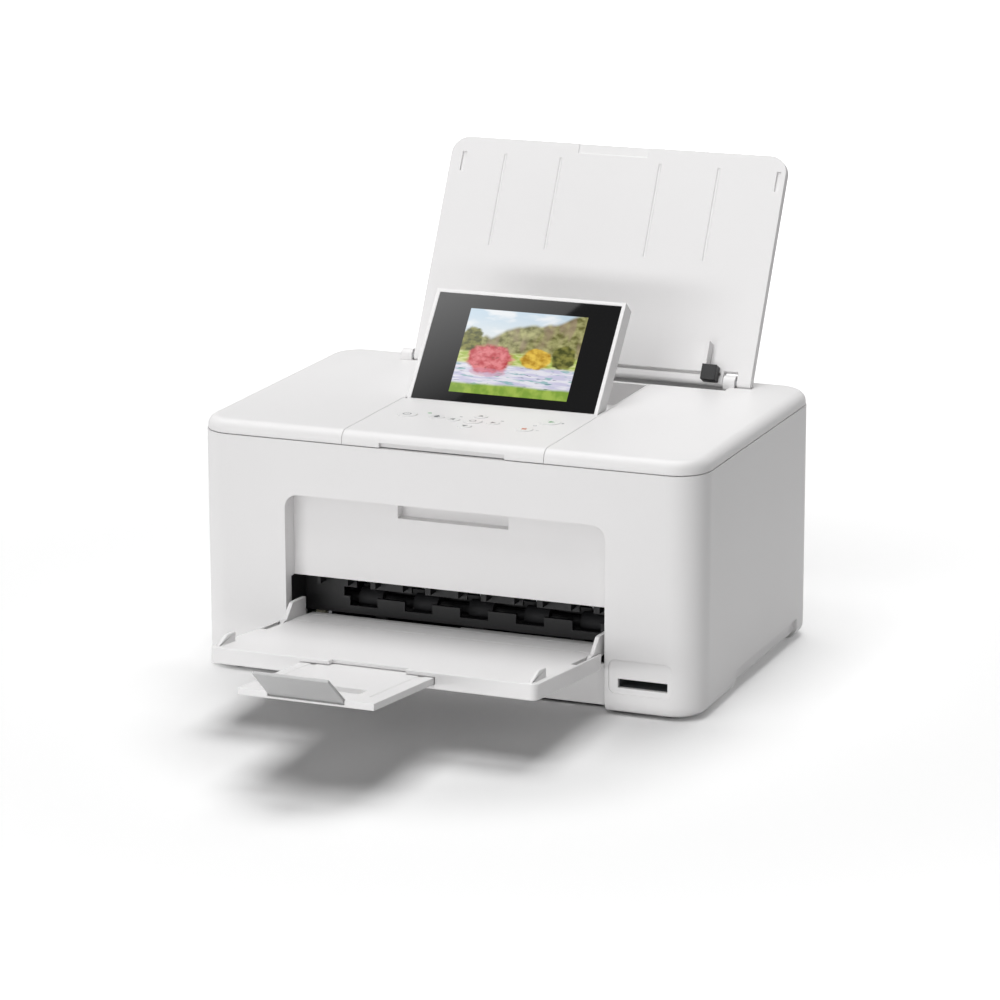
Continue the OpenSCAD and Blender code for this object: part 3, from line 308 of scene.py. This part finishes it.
def lit_picture(tree, place):
    """What the panel behind the window shows: bushes by a lake under a summer sky, in soft patches of colour.

    Places and sizes in it are shares of the lit field, from its lower left corner.
    """
    x, y, z = local_mm(tree, place, DISPLAY_HINGE, DISPLAY_LEAN_DEG)
    u = add(tree, "MapRange", [x, LIT_LEFT, LIT_RIGHT], clamp=False)
    v = add(tree, "MapRange", [y, LIT_FOOT, LIT_HEAD], clamp=False)
    flat = add(tree, "CombineXYZ", [u, v])

    def patches(scale, detail=2.0, squeeze=1.0):
        """Cloudy noise, squeezed in height."""
        turned = add(tree, "Mapping", {"Vector": flat, "Scale": (1.0, squeeze, 1.0)})
        return add(tree, "TexNoise", {"Vector": turned, "Scale": scale, "Detail": detail})

    def tinted(source, start, end, colour, blot, share=1.0):
        """A colour with blots of a second one where the source is high."""
        mask = add(tree, "MapRange", [source, start, end, 0.0, share], **SOFT_STEP)
        return add(tree, "Mix", {SHARE: mask, BELOW: colour, ABOVE: blot}, **COLOURS)

    def under(height, bow, scale, soft=0.02, tilt=0.0):
        """1 under a wavy line at a height, which may rise to the right."""
        wave = add(tree, "Math", [patches(scale, squeeze=0.2), 0.5], operation="SUBTRACT")
        level = add(tree, "Math", [wave, bow, height], operation="MULTIPLY_ADD")
        line = add(tree, "Math", [u, tilt, level], operation="MULTIPLY_ADD")
        depth = add(tree, "Math", [v, line], operation="SUBTRACT")
        return add(tree, "MapRange", [depth, soft, -soft], **SOFT_STEP)

    def bush(centre, wide, high, wobble=0.5, share=1.0):
        """As much as the share inside a ragged oval, given by its half width and half height."""
        soft = 0.12
        oval = {"Vector": flat, "Location": (*centre, 0), "Scale": (wide, high, 1)}
        from_centre = add(tree, "Mapping", oval, vector_type="TEXTURE")
        away = add(tree, "VectorMath", [from_centre], operation="LENGTH")
        rag = add(tree, "Math", [patches(13), 0.5], operation="SUBTRACT")
        edge = add(tree, "Math", [rag, wobble, away], operation="MULTIPLY_ADD")
        return add(tree, "MapRange", [edge, 1.0 + soft, 1.0 - soft, 0.0, share], **SOFT_STEP)

    sky = tinted(v, 0.55, 1.0, "#F3F6F6", "#CFE2F0")
    sky = tinted(patches(3.2, 3.0, 1.8), 0.48, 0.64, sky, "#FBFCFD", 0.8)
    leaves = tinted(patches(13, 3.0), 0.3, 0.7, "#66652F", "#BDBB80")
    hill = tinted(patches(8, 2.0, 0.35), 0.45, 0.66, leaves, "#A08B76", 0.7)
    crown = tinted(patches(15, 3.0), 0.32, 0.7, "#484D1D", "#96944A")
    meadow = tinted(patches(12, 2.0, 2.5), 0.38, 0.64, "#DDE39A", "#AFC35C")
    lake = tinted(patches(5, 2.0, 5.0), 0.42, 0.6, "#D6D3EC", "#F1F0F9")
    lake = tinted(patches(7, 2.0, 4.0), 0.56, 0.66, lake, "#86BDBB", 0.8)
    lake = tinted(patches(9, 2.0, 6.0), 0.63, 0.7, lake, "#4E5F7E", 0.8)
    coral = tinted(patches(15), 0.3, 0.7, "#C4484E", "#F08C90")
    coral = tinted(patches(22), 0.56, 0.7, coral, "#9A5147", 0.6)
    gold = tinted(patches(15), 0.3, 0.7, "#B98A22", "#F6D056")
    turf = tinted(patches(10, 3.0, 0.6), 0.4, 0.62, "#86A93E", "#A9C455")

    scene = sky
    for mask, colour in (
        (under(0.62, 0.5, 3.0, 0.03, 0.42), hill),
        (bush((0.07, 0.62), 0.1, 0.16, 0.6), crown),
        (under(0.5, 0.06, 3.0), meadow),
        (under(0.36, 0.05, 4.0), lake),
        (bush((0.27, 0.42), 0.19, 0.17), coral),
        # the coral bush mirrored in the lake
        (bush((0.27, 0.26), 0.15, 0.05, share=0.45), "#D98FA6"),
        (bush((0.66, 0.46), 0.13, 0.12), gold),
        (bush((0.88, 0.5), 0.1, 0.14, 0.6), crown),
        (under(0.12, 0.05, 3.0), turf),
    ):
        scene = add(tree, "Mix", {SHARE: mask, BELOW: scene, ABOVE: colour}, **COLOURS)

    field = add(tree, "Math", [slab(tree, x, LIT_LEFT, LIT_RIGHT), slab(tree, y, LIT_FOOT, LIT_HEAD)],
                operation="MULTIPLY")
    front = add(tree, "MapRange", [z, *WINDOW_FACE, 0.0, PANEL_LIGHT], **SOFT_STEP)
    return scene, add(tree, "Math", [field, front], operation="MULTIPLY")


# ---- materials ----

WHITE = {"base": "#E9E8E8", "shade": "#E5E4E4", "roughness": 0.42, "grain_mm": 0.35, "depth_mm": 0.006,
         "edge_mm": 0.35}
KEY_WHITE = {"base": "#E9E9E9", "shade": "#E5E4E4", "roughness": 0.28, "grain_mm": 0.5, "depth_mm": 0.002}
BLACK = {"base": "#0E0E10", "shade": "#151517", "roughness": 0.42, "grain_mm": 0.4, "depth_mm": 0.01}
RUBBER = {"base": "#1B1B1D", "shade": "#232326", "roughness": 0.7, "grain_mm": 0.25, "depth_mm": 0.03}
# a pale grey whose darkness is painted shade, for the tray's flap
PAINTED_SHADE_GREY = {**WHITE, "base": "#BCBCBC", "shade": "#C0C0C0"}

# by the part's material slots
MATERIALS = {
    # moulded ABS, fine spark-eroded texture: matt with a broad soft sheen
    "case_white": finish_of("moulded_abs_white", **WHITE),
    # the same resin from a polished mould: a tighter, brighter sheen
    "key_white": finish_of("polished_abs_keys", **KEY_WHITE),
    # filled polystyrene, plainly moulded: dull and even
    "pan_grey": finish_of("moulded_polystyrene_grey", "#66686B", "#5E6063", 0.5, 0.4, 0.01),
    # black ABS, fine texture: nearly black, with a grey sheen where light grazes it
    "black_plastic": finish_of("moulded_abs_black", **BLACK),
    # soft rubber, moulded: no sheen to speak of
    "foot_rubber": finish_of("soft_rubber_grey", "#4A4A4C", "#444446", 0.75, 0.3, 0.02),
    # rubber tyres ground to size: matt, with a fine tooth
    "roller_rubber": finish_of("ground_rubber_dark", **RUBBER),
    # moulded rubber over cord: matt black
    "belt_rubber": finish_of("moulded_rubber_belt", "#19191A", "#222223", 0.65, 0.3, 0.02),
    # steel sheet and rod, rolled and zinc plated: bright, with fine lines along the length
    "steel": finish_of("rolled_steel_plated", "#C9CBCE", "#BFC1C4", 0.3, 0.6, 0.004, 1.0,
                       stretch=(0.1, 1, 1)),
    # steel can, deep drawn: a softer shine than the plate
    "motor_steel": finish_of("drawn_steel_can", "#B4B6B9", "#A9ABAE", 0.35, 0.5, 0.004, 1.0),
    # aluminium, turned: pale and bright
    "pulley_alloy": finish_of("turned_aluminium", "#D2D3D6", "#C8C9CC", 0.28, 0.3, 0.004, 1.0),
    # brass, milled: yellow, with bright tooth edges
    "pinion_brass": finish_of("milled_brass", "#D8B262", "#CCA552", 0.3, 0.3, 0.004, 1.0),
    # natural acetal, moulded: ivory and slightly waxy
    "gear_ivory": finish_of("moulded_acetal", "#E4DFCC", "#DDD7C2", 0.4, 0.4, 0.004),
    # glass filled polycarbonate, moulded: mid grey and matt
    "head_grey": finish_of("moulded_pc_grey", "#7B7D80", "#727477", 0.42, 0.4, 0.008),
    # solder resist over glass cloth: green, glossy, with the cloth just felt under it
    "board_green": finish_of("solder_resist_green", "#1F6A42", "#185A37", 0.3, 1.2, 0.01),
    # tinted acrylic, polished: a pale green point while it is off
    "lamp_green": finish_of("tinted_acrylic_green", "#B9D8BC", "#B2D2B6", 0.2, 0.8, 0.001),
    # hard coated acrylic over a black print, clear over the lit panel: a black mirror round a picture
    "lens_black": finish_of("black_backed_acrylic", "#0B0B0C", "#0D0D0E", 0.02, 3.0, 0.0, glow=lit_picture,
                            spread=(0.0, 0.0)),
    # the panel's own glass, behind the window: grey and smooth
    "screen": finish_of("display_glass_grey", "#3A4A52", "#40525A", 0.2, 1.0, 0.001),
}

# by node, for pieces with print or a second colour of their own
PAINTED = {
    "control_panel": finish_of("moulded_abs_white_printed", **WHITE, paint=deck_marks),
    "edge_stop": finish_of("two_shot_abs_fixed_guide", **BLACK, paint=light_fin),
    "edge_guide": finish_of("two_shot_abs_sliding_guide", **BLACK, paint=light_fin),
    # the flap's colour is painted shade: a grey darker than the tray, standing in for the shade on its face
    # that turns down and forward
    "stopper": finish_of("abs_with_painted_shade", **PAINTED_SHADE_GREY),
    # ground rubber tyres on a steel shaft with a moulded gear
    "line_roller": finish_of("line_roller_finish", **RUBBER, paint=roller_parts("line_roller", 3.0)),
    "pick_roller": finish_of("pick_roller_finish", **RUBBER, paint=roller_parts("pick_roller", 3.0)),
    # the same tyres on a shaft moulded in black
    "exit_roller": finish_of("exit_roller_finish", **RUBBER,
                             paint=roller_parts("exit_roller", 2.5, "#1A1A1C", metal=False)),
}
for which in KEYS:
    PAINTED["key_" + which] = finish_of("polished_abs_key_" + which, **KEY_WHITE, paint=key_mark(which))

BODY_OF = {node: body for body, nodes in frame["record"]["behaviour"]["bodies"].items() for node in nodes}
SLOT_OF = {row["node"]: row["material_slot"] for row in frame["record"]["subparts"]}


def finish_for(node):
    """The node's own finish, or else its slot's."""
    return PAINTED.get(node) or MATERIALS[SLOT_OF[node]]


for node in SLOT_OF:
    worn = frame["nodes"][node].data.materials
    worn.clear()
    worn.append(finish_for(node))


# ---- softened pieces ----

SMOOTH_DEG = 40  # edges flatter than this are shaded round
FLAT_DEG = 0.6  # faces that meet flatter than this are one


def piece(name, shape, body, material):
    """Turns a bmesh into a piece that rides on a body."""
    bmesh.ops.recalc_face_normals(shape, faces=shape.faces)
    mesh = bpy.data.meshes.new(name)
    shape.to_mesh(mesh)
    shape.free()
    mesh.shade_smooth()
    mesh.set_sharp_from_angle(angle=math.radians(SMOOTH_DEG))
    made = bpy.data.objects.new(name, mesh)
    bpy.context.scene.collection.objects.link(made)
    mesh.materials.append(material)
    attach(made, body)
    return made


def softened(node, radius_mm, sharp_deg=32, swell=None):
    """A copy of a CAD node with its sharp edges rounded over, shown in its place.

    swell may move its points first.
    """
    shape = bmesh.new()
    shape.from_mesh(frame["nodes"][node].data)
    if swell:
        swell(shape)
    bmesh.ops.remove_doubles(shape, verts=shape.verts, dist=MM / 1000)
    bmesh.ops.dissolve_limit(shape, angle_limit=math.radians(FLAT_DEG), verts=shape.verts, edges=shape.edges,
                             use_dissolve_boundaries=False, delimit=set())
    sharp = math.radians(sharp_deg)
    edges = [e for e in shape.edges if len(e.link_faces) == 2 and e.calc_face_angle(0) > sharp]
    bmesh.ops.bevel(shape, geom=edges, offset=radius_mm * MM, offset_type="OFFSET", segments=2, profile=0.5,
                    affect="EDGES", clamp_overlap=False, material=-1)
    made = piece(node + "_soft", shape, BODY_OF[node], finish_for(node))
    weighted = made.modifiers.new("even", "WEIGHTED_NORMAL")
    weighted.keep_sharp = True
    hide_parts(node)
    return made


# edge radii in mm of the pieces seen from near by
SOFT = {"front_tray": 0.5, "tray_extension": 0.3, "stopper": 0.3, "display_case": 0.35, "paper_support": 0.3,
        "lift_arms": 0.25, "edge_guide": 0.25, "edge_stop": 0.25, "rubber_feet": 0.4}
for node, radius in SOFT.items():
    softened(node, radius)

CAP_GROWTH = 0.17  # a cap is widened by this much all round, until only a hairline is left about it
CAP_FOOT = 119.15  # and from this height up, so the stem below it stays as it is


def wider_cap(which):
    """Widens the cap of a key about its own centre."""
    cx, cy, radius = cap_of(which)
    gain = (radius + CAP_GROWTH) / radius

    def swell(shape):
        for vert in shape.verts:
            if vert.co.z > CAP_FOOT * MM:
                vert.co.x = (cx + (vert.co.x / MM - cx) * gain) * MM
                vert.co.y = (cy + (vert.co.y / MM - cy) * gain) * MM
    return swell


for which in KEYS:
    softened("key_" + which, 0.2, sharp_deg=60, swell=wider_cap(which))


# ---- studio ----


def staged(name, size, material):
    """A square sheet of the studio, not part of the printer."""
    shape = bmesh.new()
    bmesh.ops.create_grid(shape, x_segments=1, y_segments=1, size=size)
    mesh = bpy.data.meshes.new(name)
    shape.to_mesh(mesh)
    shape.free()
    mesh.materials.append(material)
    made = bpy.data.objects.new(name, mesh)
    bpy.context.scene.collection.objects.link(made)
    return made


SHADE_CENTRE, SHADE_SIZE = (0.015, -0.13, 0), (0.085, 0.08, 1)  # the oval of deep shade below the tray, which the painted light around it leaves out
# the strength of the painted light that camera rays see on the paper beside that oval
PAINTED_LIGHT_GAIN = 0.22


def seamless_paper():
    """White paper that runs out to pure white away from the object. Painted light, seen by camera rays alone,
    brightens it beside an oval below the tray, so the shade in that oval stays deep.
    """
    paper, tree, out, place = new_material("seamless_paper")
    ray = add(tree, "LightPath").outputs["Is Camera Ray"]
    shaded = add(tree, "Mapping", {"Vector": place, "Location": SHADE_CENTRE, "Scale": SHADE_SIZE},
                 vector_type="TEXTURE")
    from_shade = add(tree, "VectorMath", [shaded], operation="LENGTH")
    from_object = add(tree, "VectorMath", [place], operation="LENGTH")
    # painted light: a glow on the paper that rises beside the tray's shade
    beside = add(tree, "MapRange", [from_shade, 1.0, 1.8, 0.0, PAINTED_LIGHT_GAIN], **SOFT_STEP)
    away = add(tree, "MapRange", [from_object, 0.22, 1.2], **SOFT_STEP)
    painted_light_and_fade = add(tree, "Math", [beside, away], operation="ADD")
    seen = add(tree, "Math", [ray, painted_light_and_fade], operation="MULTIPLY")
    skin = add(tree, "BsdfPrincipled", {"Base Color": "#FDFDFD", "Roughness": 0.9, "Specular IOR Level": 0.1,
                                        "Emission Color": "#FFFFFF", "Emission Strength": seen})
    tree.links.new(skin.outputs["BSDF"], out.inputs["Surface"])
    return paper


floor = staged("floor", 9.0, seamless_paper())

WORLD_DIFFUSE, WORLD_GLOSSY = 0.06, 0.5


def studio_world():
    """White to the eye, dim as a light, and half bright in reflections."""
    world = bpy.data.worlds.new("studio")
    world.use_nodes = True
    tree = world.node_tree
    tree.nodes.clear()
    ray = add(tree, "LightPath").outputs
    level = add(tree, "Math", [ray["Is Glossy Ray"], WORLD_GLOSSY - WORLD_DIFFUSE, WORLD_DIFFUSE],
                operation="MULTIPLY_ADD")
    seen = add(tree, "Math", [ray["Is Camera Ray"], ray["Is Transmission Ray"]], operation="MAXIMUM")
    strength = add(tree, "Math", [level, seen], operation="MAXIMUM")
    sky = add(tree, "Background", {"Color": "#FFFFFF", "Strength": strength})
    add(tree, "OutputWorld", {"Surface": sky})
    return world


bpy.context.scene.world = studio_world()

# all but the boxes above light the object only, so the shadow below the tray stays deep
object_only = bpy.data.collections.new("object_only")
for made in bpy.context.scene.collection.objects:
    if made.type == "MESH" and made != floor:
        object_only.objects.link(made)

LAMPS = (
    # name, place, height it aims at, size, watts, lights the paper too
    ("soft_box_above", (-0.05, 0.4, 1.7), 0.0, (1.1, 0.8), 13.9, True),
    ("soft_box_top_front", (0.0, -0.7, 1.7), 0.0, (1.1, 0.8), 10.5, True),
    ("soft_box_behind", (0.1, 1.1, 1.6), 0.0, (0.9, 0.6), 1.8, True),
    ("soft_box_camera", (-0.4, -1.7, 1.3), 0.08, (1.0, 1.0), 6.9, False),
    ("strip_front_left", (-0.6, -2.1, 0.2), 0.08, (1.4, 0.3), 12.2, False),
    ("strip_front_right", (0.75, -2.1, 0.16), 0.08, (1.4, 0.22), 4.0, False),
    ("soft_box_rear", (0.5, 2.1, 0.5), 0.1, (1.2, 0.6), 17.0, False),
    ("soft_box_left", (-2.2, 0.3, 0.4), 0.1, (1.0, 0.6), 15.0, False),
)
UNMIRRORED = ("soft_box_rear", "soft_box_left")  # pale tops stay soft when they are seen from low down

for name, place, height, size, watts, on_paper in LAMPS:
    light = bpy.data.lights.new(name, "AREA")
    light.shape = "RECTANGLE"
    light.size, light.size_y = size
    light.energy = watts
    made = bpy.data.objects.new(name, light)
    made.location = place
    made.rotation_mode = "QUATERNION"
    made.rotation_quaternion = (Vector((0, 0, height)) - Vector(place)).to_track_quat("-Z", "Y")
    bpy.context.scene.collection.objects.link(made)
    if not on_paper:
        made.light_linking.receiver_collection = object_only
    if name in UNMIRRORED:
        made.visible_glossy = False

LENS_MM = 146.7
EYE = Vector((0.7017, -1.7413, 0.5659))
YAW, PITCH, ROLL = math.radians(22.1), math.radians(14.7), math.radians(-0.17)

camera = bpy.data.cameras.new("camera")
camera.lens = LENS_MM
camera.sensor_width = 36
camera.clip_end = 40
eye = bpy.data.objects.new("camera", camera)
behind = Vector((math.sin(YAW) * math.cos(PITCH), -math.cos(YAW) * math.cos(PITCH), math.sin(PITCH)))
eye.location = EYE
eye.rotation_mode = "QUATERNION"
eye.rotation_quaternion = (-behind).to_track_quat("-Z", "Y") @ Matrix.Rotation(ROLL, 4, "Z").to_quaternion()
bpy.context.scene.collection.objects.link(eye)
bpy.context.scene.camera = eye

# two boards over the camera's left shoulder meet on one line, which the window mirrors at a slant
BOARD_HALF = 0.5
BOARD_AWAY = 1.8  # from the window, on the mirrored line of sight
LINE_RIGHT, LINE_UP = 2.5 * MM, 1.9 * MM  # a point of the line, as seen from the middle of the window
LINE_SLANT = math.radians(48.6)


def up_window(share=1.0):
    """That share of a step up the window's slope."""
    lean = math.radians(DISPLAY_LEAN_DEG)
    return Vector((0, math.cos(lean), math.sin(lean))) * share


def board_place():
    """A point of the line that the boards meet on, and three axes: the line, away from it, and the sight."""
    right = Vector((1, 0, 0))
    low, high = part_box("display_glass")
    seen_at = (low + high) / 2 + right * LINE_RIGHT + up_window(LINE_UP)
    sight = (seen_at - EYE).normalized().reflect(right.cross(up_window()))
    slant = right * math.cos(LINE_SLANT) + up_window(math.sin(LINE_SLANT))
    line = (slant - sight * slant.dot(sight)).normalized()
    return seen_at + sight * BOARD_AWAY, line, sight.cross(line), sight


def board(name, side, least, most, at_line, along_gain=0.0, across_gain=0.0):
    """One board, seen only in what is glossy. Its light may grow along the line and away from it."""
    lit, tree, out, place = new_material(name)
    along, across, _ = add(tree, "SeparateXYZ", [place]).outputs
    off_line = add(tree, "Math", [across, BOARD_HALF], operation="ADD")
    level = add(tree, "Math", [off_line, across_gain, at_line], operation="MULTIPLY_ADD")
    level = add(tree, "Math", [along, along_gain, level], operation="MULTIPLY_ADD")
    level = add(tree, "Clamp", [level, least, most])
    glow = add(tree, "Emission", {"Color": "#FFFFFF", "Strength": level})
    tree.links.new(glow.outputs["Emission"], out.inputs["Surface"])
    made = staged(name, BOARD_HALF, lit)
    point, line, aside, sight = board_place()
    turn = Matrix((line, aside, sight)).transposed().to_4x4()
    made.matrix_world = Matrix.Translation(point + aside * BOARD_HALF * side) @ turn
    for kind in ("camera", "diffuse", "transmission", "volume_scatter", "shadow"):
        setattr(made, "visible_" + kind, False)


board("board_white", 1, least=0.6, most=3.6, at_line=1.2, along_gain=9.0, across_gain=32.7)
board("board_dark", -1, least=0.22, most=0.22, at_line=0.22)

bpy.context.scene.view_settings.view_transform = "Standard"
